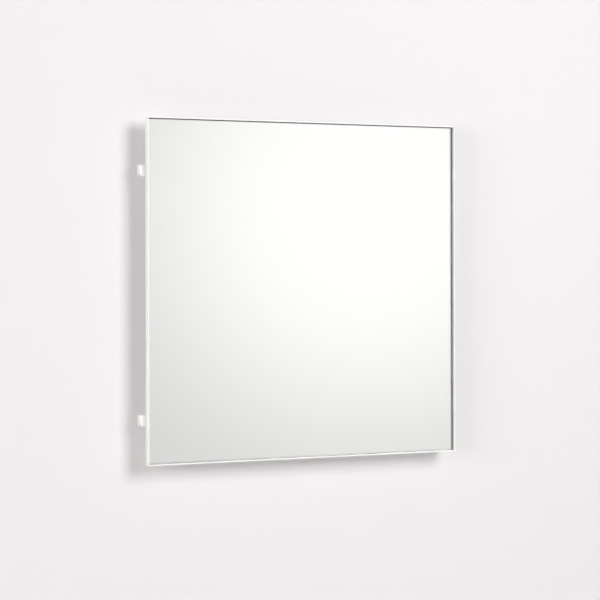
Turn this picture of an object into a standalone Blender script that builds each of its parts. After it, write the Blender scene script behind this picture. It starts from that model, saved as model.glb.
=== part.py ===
"""Square wall mirror in a white steel frame, hung by four hooks between two slotted uprights.

The mirror faces -Y and +Z is up.
The origin is at the frame's centre, in the plane of the uprights' front faces.
Left and right are as seen by someone who looks into the mirror.
"""

import math

import bmesh
import bpy
from mathutils import Matrix, Vector

MM = 0.001

# Room between pieces that touch.
CLEARANCE = 0.3 * MM

# Uprights that the mirror hangs on.
UPRIGHT_CENTRES = 607 * MM
SLOT_OFFSET = 5 * MM
SLOT_PITCH = 32 * MM
UPRIGHT_WALL = 2 * MM

# Frame of four mitred angle rails. WALL_SHARE is the most of a wall that one rounded edge takes.
FRAME_HEIGHT = 580 * MM
FRAME_DEPTH = 13 * MM
SIDE_GAP = 13.5 * MM
STANDOFF = 6 * MM
RAIL_WALL = 2.1 * MM
FLANGE_THICKNESS = 1.5 * MM
LIP_RADIUS = 0.7 * MM
HEEL_RADIUS = 1.2 * MM
EDGE_RADIUS = 0.4 * MM
WALL_SHARE = 0.4

# Mirror pane, the film on its back and the tape that holds it.
GLASS_THICKNESS = 3 * MM
GLASS_EDGE_GAP = 0.6 * MM
GLASS_SEAM = 0.4 * MM
FILM_THICKNESS = 0.3 * MM
FILM_INSET = 1.5 * MM
TAPE_WIDTH = 12 * MM
TAPE_THICKNESS = 1.3 * MM
TAPE_INSET = 0.5 * MM

# Blind rivets, and the bare metal around them.
RIVET_DIAMETER = 3.2 * MM
RIVET_HEAD_OVERHANG = 1.65 * MM
RIVET_HEAD_HEIGHT = 1.1 * MM
RIVET_RIM_HEIGHT = 0.4 * MM
RIVET_TAIL_OVERHANG = 0.9 * MM
RIVET_TAIL_HEIGHT = 0.7 * MM
RIVET_TAIL_MARGIN = 2.7 * MM
RIVET_HEAD_MARGIN = 3.05 * MM
MANDREL_DIAMETER = 1.8 * MM
MANDREL_DEPTH = 0.6 * MM

# Corner gussets.
GUSSET_ARM = 60 * MM
GUSSET_THICKNESS = 1.5 * MM
GUSSET_CORNER_CUT = 6 * MM
GUSSET_FILLET = 6 * MM

# Hook brackets, and the least bare flange between them and the gussets.
BRACKET_THICKNESS = 2 * MM
BRACKET_BEND_RADIUS = 1 * MM
THROAT_HEIGHT = 9.6 * MM
HOOK_DROP = 9 * MM
NOTCH_PLAY = 0.4 * MM
LEAD_IN_WIDTH = 1.2 * MM
LEAD_IN_HEIGHT = 4 * MM
TIP_FLAT = 1.2 * MM
TIP_CORNER_CUT = 1.6 * MM
SHOULDER_HEIGHT = 2.7 * MM
GAP_ABOVE_BRACKETS = 20.4 * MM
LEAST_GAP_BELOW_BRACKETS = 1 * MM

# Fineness of round shapes, the distance that welds points, and how far a cutter runs past what it cuts.
ARC_STEPS = 4
RIVET_STEPS = 12
HOLE_STEPS = 24
WELD = 0.001 * MM
CUT_MARGIN = 1 * MM

# Frame sizes that follow from the ones above.
FRAME_WIDTH = UPRIGHT_CENTRES - 2 * SIDE_GAP
HALF_WIDTH = FRAME_WIDTH / 2
HALF_HEIGHT = FRAME_HEIGHT / 2
RIVET_TAIL_RADIUS = RIVET_DIAMETER / 2 + RIVET_TAIL_OVERHANG
RIVET_HEAD_RADIUS = RIVET_DIAMETER / 2 + RIVET_HEAD_OVERHANG
RIVET_EDGE = RIVET_HEAD_RADIUS + RIVET_HEAD_MARGIN
RIVET_LINE = RAIL_WALL + RIVET_TAIL_MARGIN + RIVET_TAIL_RADIUS
TAPE_START = RIVET_LINE + RIVET_TAIL_RADIUS + RIVET_TAIL_MARGIN
FLANGE_WIDTH = TAPE_START + TAPE_WIDTH + TAPE_INSET

# Depths, from the frame's back towards the front.
FRAME_BACK = -STANDOFF
FRAME_FRONT = FRAME_BACK - FRAME_DEPTH
FLANGE_FRONT = FRAME_BACK - FLANGE_THICKNESS
TAPE_BACK = FLANGE_FRONT - CLEARANCE
TAPE_FRONT = TAPE_BACK - TAPE_THICKNESS
FILM_BACK = TAPE_FRONT - CLEARANCE
FILM_FRONT = FILM_BACK - FILM_THICKNESS
GLASS_BACK = FILM_FRONT - CLEARANCE
GLASS_FRONT = GLASS_BACK - GLASS_THICKNESS

# Plates that lie against the frame's back.
PLATE_FRONT = FRAME_BACK + CLEARANCE
BRACKET_BACK = PLATE_FRONT + BRACKET_THICKNESS
GUSSET_BACK = PLATE_FRONT + GUSSET_THICKNESS

# Hooks: the legs stand in the slots, and the seats hang on the slots' lower edges.
SLOT_COLUMN = UPRIGHT_CENTRES / 2 - SLOT_OFFSET
LEG_OUTSIDE = SLOT_COLUMN + BRACKET_THICKNESS / 2
LEG_INSIDE = SLOT_COLUMN - BRACKET_THICKNESS / 2
BEND_OUTER_RADIUS = BRACKET_BEND_RADIUS + BRACKET_THICKNESS
NOTCH_WIDTH = UPRIGHT_WALL + NOTCH_PLAY
LEG_BACK = NOTCH_WIDTH + LEAD_IN_WIDTH + TIP_FLAT + TIP_CORNER_CUT
TOP_TO_SEAT = GUSSET_ARM + GAP_ABOVE_BRACKETS + THROAT_HEIGHT
LEAST_SEAT_TO_BOTTOM = GUSSET_ARM + LEAST_GAP_BELOW_BRACKETS + HOOK_DROP
HOOK_PITCHES = math.floor((FRAME_HEIGHT - TOP_TO_SEAT - LEAST_SEAT_TO_BOTTOM) / SLOT_PITCH)
UPPER_SEAT = HALF_HEIGHT - TOP_TO_SEAT
LOWER_SEAT = UPPER_SEAT - HOOK_PITCHES * SLOT_PITCH

# Turns an outline's X and Y to a front view's X and Z, or to a side view's Y and Z.
FRONT_VIEW = Matrix.Rotation(math.radians(90), 4, "X")
SIDE_VIEW = Matrix(((0, 0, 1, 0), (1, 0, 0, 0), (0, 1, 0, 0), (0, 0, 0, 1)))
TOP_VIEW = Matrix.Identity(4)


def clear_scene():
    """Remove every object that the scene starts with."""
    for obj in list(bpy.data.objects):
        bpy.data.objects.remove(obj, do_unlink=True)


def new_collection(name):
    """Add a collection to the scene."""
    collection = bpy.data.collections.new(name)
    bpy.context.scene.collection.children.link(collection)
    return collection


def new_material(name, colour, metallic, roughness):
    """Make a Principled material."""
    material = bpy.data.materials.new(name)
    material.use_nodes = True
    shader = material.node_tree.nodes["Principled BSDF"]
    shader.inputs["Base Color"].default_value = (*colour, 1.0)
    shader.inputs["Metallic"].default_value = metallic
    shader.inputs["Roughness"].default_value = roughness
    material.diffuse_color = (*colour, 1.0)
    return material


def rounded(corners):
    """Points of a closed outline from corners given as (x, y, radius)."""
    points = []
    for index, (x, y, radius) in enumerate(corners):
        corner = Vector((x, y))
        if radius == 0:
            points.append(corner)
            continue
        before = (Vector(corners[index - 1][:2]) - corner).normalized()
        after = (Vector(corners[(index + 1) % len(corners)][:2]) - corner).normalized()
        half_angle = before.angle(after) / 2
        centre = corner + (before + after).normalized() * radius / math.sin(half_angle)
        start = corner + before * radius / math.tan(half_angle) - centre
        sweep = math.copysign(math.pi - 2 * half_angle, before.x * after.y - before.y * after.x)
        for step in range(ARC_STEPS + 1):
            turn = Matrix.Rotation(-sweep * step / ARC_STEPS, 2)
            points.append(centre + turn @ start)
    return points


def mesh_object(name, mesh, collection, material=None):
    """Put a mesh in the scene as a named object."""
    obj = bpy.data.objects.new(name, mesh)
    collection.objects.link(obj)
    if material:
        mesh.materials.append(material)
    return obj


def prism(name, corners, low, high, view, collection, material=None):
    """Extrude an outline, drawn in a view, from low to high along the view's line of sight."""
    curve = bpy.data.curves.new(name, "CURVE")
    curve.dimensions = "2D"
    curve.fill_mode = "BOTH"
    curve.extrude = (high - low) / 2
    points = rounded(corners)
    spline = curve.splines.new("POLY")
    spline.points.add(len(points) - 1)
    for target, point in zip(spline.points, points):
        target.co = (point.x, point.y, 0, 1)
    spline.use_cyclic_u = True
    guide = bpy.data.objects.new(name, curve)
    collection.objects.link(guide)
    evaluated = guide.evaluated_get(bpy.context.evaluated_depsgraph_get())
    mesh = bpy.data.meshes.new_from_object(evaluated)
    bpy.data.objects.remove(guide, do_unlink=True)
    bpy.data.curves.remove(curve)
    sight = Vector(abs(value) for value in view.col[2][:3])
    place = Matrix.Translation(sight * (low + high) / 2) @ view
    shape = bmesh.new()
    shape.from_mesh(mesh)
    bmesh.ops.remove_doubles(shape, verts=shape.verts, dist=WELD)
    bmesh.ops.transform(shape, matrix=place, verts=shape.verts)
    bmesh.ops.recalc_face_normals(shape, faces=shape.faces)
    shape.to_mesh(mesh)
    shape.free()
    mesh.name = name
    mesh.shade_flat()
    return mesh_object(name, mesh, collection, material)


def slab(name, low, high, collection, material):
    """Make a box between two corners."""
    low, high = Vector(low), Vector(high)
    shape = bmesh.new()
    bmesh.ops.create_cube(shape, size=1)
    bmesh.ops.scale(shape, vec=high - low, verts=shape.verts)
    bmesh.ops.translate(shape, vec=(low + high) / 2, verts=shape.verts)
    mesh = bpy.data.meshes.new(name)
    shape.to_mesh(mesh)
    shape.free()
    return mesh_object(name, mesh, collection, material)


def hole_cutter(name, places, low, high, collection):
    """Make one cutter of round bars along Y for rivet holes at (x, z) places."""
    radius = RIVET_DIAMETER / 2 + CLEARANCE
    shape = bmesh.new()
    for x, z in places:
        place = Matrix.Translation((x, (low + high) / 2, z)) @ FRONT_VIEW
        bmesh.ops.create_cone(
            shape,
            cap_ends=True,
            segments=HOLE_STEPS,
            radius1=radius,
            radius2=radius,
            depth=high - low,
            matrix=place,
        )
    mesh = bpy.data.meshes.new(name)
    shape.to_mesh(mesh)
    shape.free()
    return mesh_object(name, mesh, collection)


def cut(obj, cutter):
    """Subtract a cutter from an object, and hide the cutter."""
    cutter.hide_render = True
    cutter.display_type = "WIRE"
    boolean = obj.modifiers.new(cutter.name, "BOOLEAN")
    boolean.operation = "DIFFERENCE"
    boolean.solver = "EXACT"
    boolean.object = cutter


def mitre(mesh, span, reach):
    """Cut both ends of a rail at 45 degrees, half a clearance short of the mitre lines."""
    shape = bmesh.new()
    shape.from_mesh(mesh)
    for end in (-1, 1):
        normal = Vector((end, 0, -1)).normalized()
        corner = Vector((end * span / 2, 0, reach))
        everything = shape.verts[:] + shape.edges[:] + shape.faces[:]
        bmesh.ops.bisect_plane(
            shape,
            geom=everything,
            dist=WELD,
            plane_co=corner - normal * CLEARANCE / 2,
            plane_no=normal,
            clear_outer=True,
        )
        rim = [edge for edge in shape.edges if edge.is_boundary]
        bmesh.ops.holes_fill(shape, edges=rim)
    bmesh.ops.recalc_face_normals(shape, faces=shape.faces)
    shape.to_mesh(mesh)
    shape.free()


def gusset_rivet_offsets(reach):
    """Distances from the frame's centre of the two rivets in a gusset's arm."""
    far_from_corner = GUSSET_ARM - RIVET_EDGE
    near_corner = RIVET_LINE + 2 * RIVET_EDGE
    return (reach - far_from_corner, reach - near_corner)


def bracket_rivet_heights(seat):
    """Heights of a bracket's two rivets."""
    middle = seat + (THROAT_HEIGHT - HOOK_DROP) / 2
    offset = (THROAT_HEIGHT + HOOK_DROP) / 4
    return (middle - offset, middle + offset)


def add_rail(name, span, reach, turn, holes, parts, cutters, material):
    """Make one angle rail, drawn at the top of the frame and turned about the frame's centre."""
    lip = min(LIP_RADIUS, RAIL_WALL * WALL_SHARE)
    edge = min(EDGE_RADIUS, FLANGE_THICKNESS * WALL_SHARE)
    section = (
        (FRAME_FRONT, reach, lip),
        (FRAME_BACK, reach, HEEL_RADIUS),
        (FRAME_BACK, reach - FLANGE_WIDTH, edge),
        (FLANGE_FRONT, reach - FLANGE_WIDTH, edge),
        (FLANGE_FRONT, reach - RAIL_WALL, edge),
        (FRAME_FRONT, reach - RAIL_WALL, lip),
    )
    rail = prism(name, section, -span / 2, span / 2, SIDE_VIEW, parts, material)
    mitre(rail.data, span, reach)
    rail.matrix_world = Matrix.Rotation(math.radians(turn), 4, "Y")
    low = FLANGE_FRONT - CUT_MARGIN
    high = FRAME_BACK + CUT_MARGIN
    cut(rail, hole_cutter(f"{name}_holes", holes, low, high, cutters))


def add_frame(parts, cutters, material):
    """Make the four rails with their rivet holes."""
    along_width = gusset_rivet_offsets(HALF_WIDTH)
    along_height = gusset_rivet_offsets(HALF_HEIGHT)
    bracket_heights = bracket_rivet_heights(UPPER_SEAT) + bracket_rivet_heights(LOWER_SEAT)
    for name, side in (("top", 1), ("bottom", -1)):
        line = side * (HALF_HEIGHT - RIVET_LINE)
        holes = [(end * x, line) for end in (-1, 1) for x in along_width]
        turn = 0 if side > 0 else 180
        add_rail(f"frame_rail_{name}", FRAME_WIDTH, HALF_HEIGHT, turn, holes, parts, cutters, material)
    for name, side in (("right", 1), ("left", -1)):
        line = side * (HALF_WIDTH - RIVET_LINE)
        holes = [(line, end * z) for end in (-1, 1) for z in along_height]
        holes += [(line, z) for z in bracket_heights]
        turn = 90 * side
        add_rail(f"frame_rail_{name}", FRAME_HEIGHT, HALF_WIDTH, turn, holes, parts, cutters, material)


def add_pane(parts, glass, film):
    """Make the mirror pane with seamed edges, and the film on its back."""
    inset = RAIL_WALL + GLASS_EDGE_GAP
    half_x, half_z = HALF_WIDTH - inset, HALF_HEIGHT - inset
    pane = slab("mirror_glass", (-half_x, GLASS_FRONT, -half_z), (half_x, GLASS_BACK, half_z), parts, glass)
    seam = pane.modifiers.new("seamed edges", "BEVEL")
    seam.width = GLASS_SEAM
    seam.segments = 1
    half_x, half_z = half_x - FILM_INSET, half_z - FILM_INSET
    slab("safety_film", (-half_x, FILM_FRONT, -half_z), (half_x, FILM_BACK, half_z), parts, film)


def add_tape(parts, material):
    """Make four strips of foam tape on the flanges, butted at the corners."""
    outer_x, outer_z = HALF_WIDTH - TAPE_START, HALF_HEIGHT - TAPE_START
    inner_x, inner_z = outer_x - TAPE_WIDTH, outer_z - TAPE_WIDTH
    butt = inner_z - CLEARANCE
    strips = {
        "top": ((-outer_x, inner_z), (outer_x, outer_z)),
        "right": ((inner_x, -butt), (outer_x, butt)),
        "bottom": ((-outer_x, -outer_z), (outer_x, -inner_z)),
        "left": ((-outer_x, -butt), (-inner_x, butt)),
    }
    for name, ((x0, z0), (x1, z1)) in strips.items():
        slab(f"mounting_tape_{name}", (x0, TAPE_FRONT, z0), (x1, TAPE_BACK, z1), parts, material)


def rivet_mesh(name, grip, material):
    """Turned blind rivet with its head towards +Z and its seat at the origin."""
    shank = RIVET_DIAMETER / 2
    bore = MANDREL_DIAMETER / 2
    profile = [(0, RIVET_HEAD_HEIGHT - MANDREL_DEPTH), (bore, RIVET_HEAD_HEIGHT - MANDREL_DEPTH)]
    dome = RIVET_HEAD_HEIGHT - RIVET_RIM_HEIGHT
    for step in range(ARC_STEPS):
        angle = math.pi / 2 * step / (ARC_STEPS - 1)
        radius = bore + (RIVET_HEAD_RADIUS - bore) * math.sin(angle)
        profile.append((radius, RIVET_RIM_HEIGHT + dome * math.cos(angle)))
    profile += [(RIVET_HEAD_RADIUS, 0), (shank, 0), (shank, -grip), (RIVET_TAIL_RADIUS, -grip)]
    profile += [(RIVET_TAIL_RADIUS, -grip - RIVET_TAIL_HEIGHT / 2), (shank, -grip - RIVET_TAIL_HEIGHT)]
    profile += [(0, -grip - RIVET_TAIL_HEIGHT)]
    mesh = bpy.data.meshes.new(name)
    shape = bmesh.new()
    points = [shape.verts.new((radius, 0, height)) for radius, height in profile]
    for start, end in zip(points, points[1:]):
        shape.edges.new((start, end))
    shape.to_mesh(mesh)
    shape.free()
    mesh.materials.append(material)
    return mesh


def add_rivet(name, mesh, x, seat, z, parts):
    """Place a rivet with its head towards the wall."""
    rivet = mesh_object(name, mesh, parts)
    rivet.matrix_world = Matrix.Translation((x, seat, z)) @ Matrix.Rotation(math.radians(-90), 4, "X")
    screw = rivet.modifiers.new("turned", "SCREW")
    screw.axis = "Z"
    screw.steps = RIVET_STEPS
    screw.render_steps = RIVET_STEPS
    screw.use_merge_vertices = True
    screw.merge_threshold = WELD
    screw.use_smooth_shade = True


def add_gussets(parts, cutters, steel, rivet_metal):
    """Make an L-shaped gusset behind each mitre, with two rivets in each arm."""
    grip = FLANGE_THICKNESS + GUSSET_THICKNESS + 3 * CLEARANCE
    mesh = rivet_mesh("gusset_rivet", grip, rivet_metal)
    outer = RIVET_LINE - RIVET_EDGE
    inner = RIVET_LINE + RIVET_EDGE
    for row, up in (("top", 1), ("bottom", -1)):
        for column, right in (("left", -1), ("right", 1)):
            corner = f"{row}_{column}"
            distances = (
                (outer + GUSSET_CORNER_CUT, outer, 0),
                (GUSSET_ARM, outer, EDGE_RADIUS),
                (GUSSET_ARM, inner, EDGE_RADIUS),
                (inner, inner, GUSSET_FILLET),
                (inner, GUSSET_ARM, EDGE_RADIUS),
                (outer, GUSSET_ARM, EDGE_RADIUS),
                (outer, outer + GUSSET_CORNER_CUT, 0),
            )
            outline = [(right * (HALF_WIDTH - a), up * (HALF_HEIGHT - b), r) for a, b, r in distances]
            name = f"corner_gusset_{corner}"
            gusset = prism(name, outline, PLATE_FRONT, GUSSET_BACK, FRONT_VIEW, parts, steel)
            line_x, line_z = HALF_WIDTH - RIVET_LINE, HALF_HEIGHT - RIVET_LINE
            places = [(right * x, up * line_z) for x in gusset_rivet_offsets(HALF_WIDTH)]
            places += [(right * line_x, up * z) for z in gusset_rivet_offsets(HALF_HEIGHT)]
            low = PLATE_FRONT - CUT_MARGIN
            high = GUSSET_BACK + CUT_MARGIN
            cut(gusset, hole_cutter(f"{name}_holes", places, low, high, cutters))
            for number, (x, z) in enumerate(places, 1):
                add_rivet(f"gusset_rivet_{corner}_{number}", mesh, x, GUSSET_BACK + CLEARANCE, z, parts)


def add_bracket(place, right, seat, parts, cutters, steel, rivet_shape):
    """Make one hook bracket: a strip on the flange, bent back through a slot and notched to hang on it."""
    name = f"hook_bracket_{place}"
    top = seat + THROAT_HEIGHT
    bottom = seat - HOOK_DROP
    lap = HALF_WIDTH - RIVET_LINE - RIVET_EDGE
    strip = (
        (right * lap, PLATE_FRONT, 0),
        (right * lap, BRACKET_BACK, 0),
        (right * LEG_INSIDE, BRACKET_BACK, BRACKET_BEND_RADIUS),
        (right * LEG_INSIDE, LEG_BACK, 0),
        (right * LEG_OUTSIDE, LEG_BACK, 0),
        (right * LEG_OUTSIDE, PLATE_FRONT, BEND_OUTER_RADIUS),
    )
    bracket = prism(name, strip, bottom, top, TOP_VIEW, parts, steel)

    below = bottom - CUT_MARGIN
    leg_sides = sorted((right * (LEG_INSIDE - CUT_MARGIN), right * (LEG_OUTSIDE + CUT_MARGIN)))
    notch = (
        (0, seat, 0),
        (NOTCH_WIDTH, seat, 0),
        (NOTCH_WIDTH, bottom + LEAD_IN_HEIGHT, 0),
        (NOTCH_WIDTH + LEAD_IN_WIDTH, bottom, 0),
        (NOTCH_WIDTH + LEAD_IN_WIDTH, below, 0),
        (0, below, 0),
    )
    cut(bracket, prism(f"{name}_notch", notch, *leg_sides, SIDE_VIEW, cutters))
    tip = (
        (LEG_BACK - TIP_CORNER_CUT - CUT_MARGIN, below, 0),
        (LEG_BACK + CUT_MARGIN, below, 0),
        (LEG_BACK + CUT_MARGIN, bottom + TIP_CORNER_CUT + CUT_MARGIN, 0),
    )
    cut(bracket, prism(f"{name}_tip", tip, *leg_sides, SIDE_VIEW, cutters))
    slope = (HOOK_DROP - SHOULDER_HEIGHT) / BEND_OUTER_RADIUS
    corner = (
        (right * (LEG_OUTSIDE + CUT_MARGIN), seat - SHOULDER_HEIGHT + CUT_MARGIN * slope, 0),
        (right * (LEG_OUTSIDE + CUT_MARGIN), below, 0),
        (right * (LEG_OUTSIDE - BEND_OUTER_RADIUS - CUT_MARGIN / slope), below, 0),
    )
    reach = (PLATE_FRONT - CUT_MARGIN, NOTCH_WIDTH / 2)
    cut(bracket, prism(f"{name}_corner", corner, *reach, FRONT_VIEW, cutters))

    line = right * (HALF_WIDTH - RIVET_LINE)
    places = [(line, z) for z in bracket_rivet_heights(seat)]
    low = PLATE_FRONT - CUT_MARGIN
    high = BRACKET_BACK + CUT_MARGIN
    cut(bracket, hole_cutter(f"{name}_holes", places, low, high, cutters))
    for number, (x, z) in enumerate(places, 1):
        rivet_name = f"bracket_rivet_{place}_{number}"
        add_rivet(rivet_name, rivet_shape, x, BRACKET_BACK + CLEARANCE, z, parts)


def add_brackets(parts, cutters, steel, rivet_metal):
    """Make the four hook brackets and their rivets."""
    grip = FLANGE_THICKNESS + BRACKET_THICKNESS + 3 * CLEARANCE
    mesh = rivet_mesh("bracket_rivet", grip, rivet_metal)
    for row, seat in (("upper", UPPER_SEAT), ("lower", LOWER_SEAT)):
        for column, right in (("left", -1), ("right", 1)):
            add_bracket(f"{row}_{column}", right, seat, parts, cutters, steel, mesh)


def main():
    clear_scene()
    parts = new_collection("Wall mirror")
    cutters = new_collection("Cutters")
    coat = new_material("white powder coat", (0.83, 0.83, 0.82), 0.0, 0.45)
    glass = new_material("silvered glass", (0.93, 0.95, 0.94), 1.0, 0.02)
    film = new_material("safety film", (0.55, 0.57, 0.58), 0.0, 0.6)
    foam = new_material("foam tape", (0.78, 0.77, 0.74), 0.0, 0.9)
    rivet_metal = new_material("bare aluminium", (0.72, 0.73, 0.74), 1.0, 0.35)
    add_frame(parts, cutters, coat)
    add_pane(parts, glass, film)
    add_tape(parts, foam)
    add_gussets(parts, cutters, coat, rivet_metal)
    add_brackets(parts, cutters, coat, rivet_metal)
    root = bpy.data.objects.new("wall_mirror", None)
    parts.objects.link(root)
    for obj in parts.objects:
        if obj is not root:
            obj.parent = root


if __name__ == "__main__":
    main()
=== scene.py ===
"""Square wall mirror in a white steel frame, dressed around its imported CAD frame.

The file is laid out as an add-on: each piece has an operator, and main() runs them in order.
The mirror faces -Y, +Z is up, and left and right are as seen by someone who looks into it.
"""

import contextlib
import math

import bmesh
import bpy
from bpy.props import FloatProperty, FloatVectorProperty, PointerProperty
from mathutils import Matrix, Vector


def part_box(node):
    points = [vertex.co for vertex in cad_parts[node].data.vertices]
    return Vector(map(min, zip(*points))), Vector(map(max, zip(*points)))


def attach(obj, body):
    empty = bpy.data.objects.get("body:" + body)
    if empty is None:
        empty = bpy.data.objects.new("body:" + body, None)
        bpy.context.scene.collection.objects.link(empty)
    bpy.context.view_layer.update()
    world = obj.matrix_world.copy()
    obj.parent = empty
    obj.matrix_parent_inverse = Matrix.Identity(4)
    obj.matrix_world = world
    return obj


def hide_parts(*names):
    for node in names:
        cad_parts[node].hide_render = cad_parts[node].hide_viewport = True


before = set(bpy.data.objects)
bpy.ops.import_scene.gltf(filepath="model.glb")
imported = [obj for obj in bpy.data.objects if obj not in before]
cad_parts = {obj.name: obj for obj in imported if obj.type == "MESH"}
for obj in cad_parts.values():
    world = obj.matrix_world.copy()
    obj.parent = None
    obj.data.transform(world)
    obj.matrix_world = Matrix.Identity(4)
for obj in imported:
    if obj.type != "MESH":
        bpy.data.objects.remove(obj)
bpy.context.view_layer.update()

bl_info = {
    "name": "Hook-on Wall Mirror",
    "version": (1, 0, 0),
    "blender": (4, 5, 0),
    "location": "3D View > Sidebar > Wall Mirror",
    "description": "Models a square mirror in a white steel frame, with its fixings and a plain stage",
    "category": "Add Mesh",
}

BODY = "root"
MM = 0.001

# How near two places are to count as one, and how far a cutter runs past what it cuts.
SAME = 0.005 * MM
PAST = 1 * MM

# Flats on a round edge, a small one and a tiny one, and around a rivet and the floor.
ROUND_STEPS, SMALL_STEPS, TINY_STEPS = 6, 3, 2
RIVET_SIDES = 40
FLOOR_SIDES = 64

# The sharpest crease that is shaded smooth, and the most that the parts of one flat face turn.
CREASE = math.radians(35)
FLAT = math.radians(1)

# Share of a direction that lies on an axis where an edge runs along it, a face looks along it, and a face
# is at least slanted towards it.
PARALLEL, FACING, SLANTED = 0.999, 0.9, 0.5

# Share of the film's thickness that its soft edge takes.
FILM_EDGE = 0.25

# Cuts across a tape's thickness, and the shares of its swelling that all of them and the middle one add.
TAPE_CUTS = (0.25, 0.5, 0.75)
TAPE_SWELL, TAPE_CROWN = 0.7, 0.3

# Stub of a snapped mandrel: the groove round it, its slope and its dimple as shares of its hole's radius,
# and its height and the dimple's depth as shares of the hole's depth.
STUB_GROOVE, STUB_SLOPE, STUB_DIMPLE = 0.2, 0.15, 0.3
STUB_HEIGHT, DIMPLE_DEPTH = 1 / 3, 1 / 8

# Sockets of a Mix node by number, because their names repeat.
FACTOR, NUMBER_A, NUMBER_B, COLOUR_A, COLOUR_B = 0, 2, 3, 6, 7
NUMBER_OUT, COLOUR_OUT = 0, 2

# The values that most of a noise lies between, and the refraction of plain glass.
NOISE_LOW, NOISE_HIGH = 0.3, 0.7
GLASS_IOR = 1.52

# Place and size of each soft lamp, in metres.
LAMPS = {
    "key": ((0.85, -2.8, 1.05), (1.2, 1.4)),
    "fill": ((-3.3, -2.05, 0.3), (2.0, 1.4)),
    "rear": ((0.6, 2.8, 1.2), (2.0, 2.0)),
}

# The room that the mirror and the coat show is a sum of round spots. For each: its turn and rise from
# straight ahead and the angles from its middle where its light starts and stops to fall off, in degrees,
# and the light at those two.
ROOM_SPOTS = {
    "glow": ((26.46, 1.94), (2.15, 10.97), (1.071, 0.726)),
    "dusk round the glow": ((26.46, 1.94), (11, 40), (0, -0.12)),
    "front glow": ((3, 4), (2, 12), (0.3, 0)),
    "key lamp": ((36, 25), (11, 19), (8, 0)),
    "fill lamp": ((-60, 25), (11, 19), (8, 0)),
    "halo of the fill lamp": ((-60, 25), (15, 45), (0.25, 0)),
}

# Side of the wall, radius of the floor, and for both the distances over which they fade out, how much of
# the white room the eye sees through them before that, and the grain of their paint.
WALL_SIDE, WALL_FADE, WALL_CLEAR, WALL_GRAIN = 6, (1.4, 2.4), 0.0, 3 * MM
FLOOR_RADIUS, FLOOR_FADE, FLOOR_CLEAR, FLOOR_GRAIN = 7, (3, 6.5), 0.3, 4 * MM

# Quarter turns about +Y that carry a piece at the top, or top right, round the frame.
RAIL_TURNS = {"top": 0, "right": 1, "bottom": 2, "left": 3}
CORNER_TURNS = {"top_right": 0, "bottom_right": 1, "bottom_left": 2, "top_left": 3}


def linear(colour):
    """Turn an sRGB hex colour to linear red, green and blue."""
    shares = (int(colour[i:i + 2], 16) / 255 for i in (1, 3, 5))
    return tuple(s / 12.92 if s <= 0.04045 else ((s + 0.055) / 1.055) ** 2.4 for s in shares)


def length(name, description, millimetres):
    """A property for a size in the model."""
    return FloatProperty(
        name=name, description=description, default=millimetres * MM, min=0, precision=5, unit="LENGTH"
    )


def colour(name, description, value):
    """A property for a colour, given as sRGB hex."""
    return FloatVectorProperty(
        name=name, description=description, default=linear(value), min=0, max=1, subtype="COLOR"
    )


def level(name, description, value):
    """A property for an amount of light, where 1 lights a white surface to white."""
    return FloatProperty(name=name, description=description, default=value, min=0, soft_max=2)


class MirrorSizes(bpy.types.PropertyGroup):
    """Sizes that the CAD boxes don't give."""

    rail_wall: length("Rail wall", "Thickness of a rail's side wall, which shows as the lip", 2.1)
    flange: length("Flange", "Thickness of a rail's rear flange", 1.5)
    lip_radius: length("Lip radius", "Rounding of the lip's two front edges", 0.7)
    heel_radius: length("Heel radius", "Outside radius of the fold between wall and flange", 1.2)
    edge_radius: length("Edge radius", "Rounding of the flange's edges and the gussets' ends", 0.4)
    mitre_gap: length("Mitre gap", "Hairline left between two rails", 0.12)
    soft_edge: length("Soft edge", "Rounding that the coat leaves on a cut edge", 0.2)
    glass_arris: length("Glass arris", "Width of the ground seam along the pane's edges", 0.15)
    silver_rim: length("Silver rim", "Width of the greyer rim of the silvering", 3)
    pane_drop: length("Pane drop", "How far the pane has settled towards the bottom rail", 0.5)
    film_corner: length("Film corner", "Rounding of the backing film's corners", 4)
    film_rim: length("Film rim", "Width of the band along the backing film's edge", 0.5)
    tape_bulge: length("Tape bulge", "How far the foam swells between its faces", 0.15)
    gusset_width: length("Gusset width", "Width of a gusset's arms", 12.6)
    gusset_cut: length("Gusset corner cut", "Corner cut off a gusset's outer corner", 6)
    gusset_fillet: length("Gusset fillet", "Radius of a gusset's inner corner", 6)
    hole_radius: length("Hole radius", "Radius of a rivet hole", 1.9)
    shank_radius: length("Shank radius", "Radius of a rivet's shank", 1.6)
    head_height: length("Head height", "Height of a rivet's domed head", 1.1)
    rim_height: length("Rim height", "Height of the straight rim under the dome", 0.4)
    mandrel_radius: length("Mandrel radius", "Radius of the hole that the pulled mandrel leaves", 0.9)
    mandrel_depth: length("Mandrel depth", "Depth of that hole", 0.6)
    tail_radius: length("Tail radius", "Radius of a rivet's set tail", 2.5)
    tail_height: length("Tail height", "Height of a rivet's set tail", 0.7)
    strip: length("Bracket strip", "Thickness of the steel strip of the hook brackets", 2)
    bend_radius: length("Bend radius", "Inside radius of a bracket's bend", 1)
    throat: length("Throat", "Height of a bracket above its seat", 9.6)
    notch: length("Notch", "Width of the notch under the seat", 2.4)
    lead_in_width: length("Lead-in width", "How much wider the notch is at its mouth", 1.2)
    lead_in_height: length("Lead-in height", "Height of the slope at the notch's mouth", 4)
    tip_cut: length("Tip cut", "Corner cut off the hook's rear tip", 1.6)
    shoulder: length("Shoulder", "Height below the seat where the slanted corner starts", 2.7)


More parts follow.
